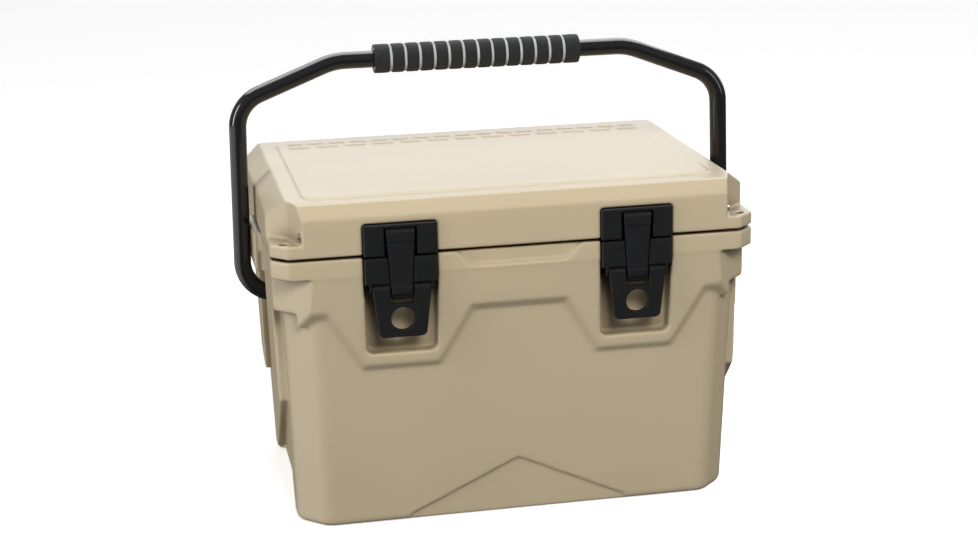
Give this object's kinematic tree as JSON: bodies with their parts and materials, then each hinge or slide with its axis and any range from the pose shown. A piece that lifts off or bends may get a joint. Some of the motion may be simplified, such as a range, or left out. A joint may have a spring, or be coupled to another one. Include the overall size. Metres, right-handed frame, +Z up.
{
  "type": "cooler chest",
  "caption": "Insulated hard cooler chest with a hinged lid, pull latches, padlock corners and a swinging bail handle with a foam grip.",
  "frame": {"origin": "middle of the flat base, on the floor, midway between the ends and between the front and rear rims", "axes": "+X along the width to the right seen from the front, +Y from the latches to the hinges, +Z up"},
  "size_m": [0.5746, 0.3876, 0.499],
  "materials": {
    "tan_shell": "satin rotomoulded polyethylene with a fine orange-peel surface",
    "insulation_foam": "closed-cell rigid foam, hidden in the double walls",
    "gasket_rubber": "soft extruded seal",
    "steel_fixings": "plain stainless steel pins and screws",
    "dark_pins": "blackened steel pins",
    "strap_rubber": "satin black rubber",
    "black_tube": "gloss black powder-coated steel tube",
    "grip_grey": "light grey inner sleeve of the grip",
    "grip_foam": "matt charcoal foam rings",
    "black_plastic": "satin black moulded nylon"
  },
  "bodies": {
    "chest": {"body_shell": "tan_shell", "body_foam": "insulation_foam", "pivot_bushings": "black_plastic", "hinge_base_leaves": "black_plastic", "hinge_pins": "steel_fixings", "hinge_base_screws": "steel_fixings", "bracket_left": "black_plastic", "bracket_screws_left": "steel_fixings", "lever_pins_left": "dark_pins", "bracket_right": "black_plastic", "bracket_screws_right": "steel_fixings", "lever_pins_right": "dark_pins"},
    "lid": {"lid_shell": "tan_shell", "lid_foam": "insulation_foam", "lid_gasket": "gasket_rubber", "lid_corner_pins": "steel_fixings", "hinge_lid_leaves": "black_plastic", "hinge_lid_screws": "steel_fixings", "keeper_left": "black_plastic", "keeper_screws_left": "steel_fixings", "keeper_right": "black_plastic", "keeper_screws_right": "steel_fixings"},
    "bail_handle": {"handle_tube": "black_tube", "grip_sleeve": "grip_grey", "grip_rings": "grip_foam", "handle_end_plugs": "black_plastic"},
    "latch_lever_left": {"lever_left": "black_plastic", "strap_pin_left": "dark_pins"},
    "latch_strap_left": {"strap_left": "strap_rubber"},
    "latch_lever_right": {"lever_right": "black_plastic", "strap_pin_right": "dark_pins"},
    "latch_strap_right": {"strap_right": "strap_rubber"}
  },
  "joints": [
    {"name": "lid_hinge", "type": "hinge", "parent": "chest", "child": "lid", "pos_m": [0, 0.193, 0.303], "axis": [-1, 0, 0], "range_deg": [0, 20]},
    {"name": "handle_swing", "type": "hinge", "parent": "chest", "child": "bail_handle", "pos_m": [0, 0, 0.225], "axis": [1, 0, 0], "range_deg": [-130, 130]},
    {"name": "lever_pivot_left", "type": "hinge", "parent": "chest", "child": "latch_lever_left", "pos_m": [-0.1265, -0.183, 0.2715], "axis": [-1, 0, 0], "range_deg": [0, 90]},
    {"name": "strap_pivot_left", "type": "hinge", "parent": "latch_lever_left", "child": "latch_strap_left", "pos_m": [-0.1265, -0.181, 0.264], "axis": [1, 0, 0], "range_deg": [0, 92]},
    {"name": "lever_pivot_right", "type": "hinge", "parent": "chest", "child": "latch_lever_right", "pos_m": [0.1265, -0.183, 0.2715], "axis": [-1, 0, 0], "range_deg": [0, 90]},
    {"name": "strap_pivot_right", "type": "hinge", "parent": "latch_lever_right", "child": "latch_strap_right", "pos_m": [0.1265, -0.181, 0.264], "axis": [1, 0, 0], "range_deg": [0, 92]}
  ],
  "couplings": [
    {"joint": "strap_pivot_left", "follows": "lever_pivot_left", "ratio": 1},
    {"joint": "strap_pivot_right", "follows": "lever_pivot_right", "ratio": 1}
  ]
}
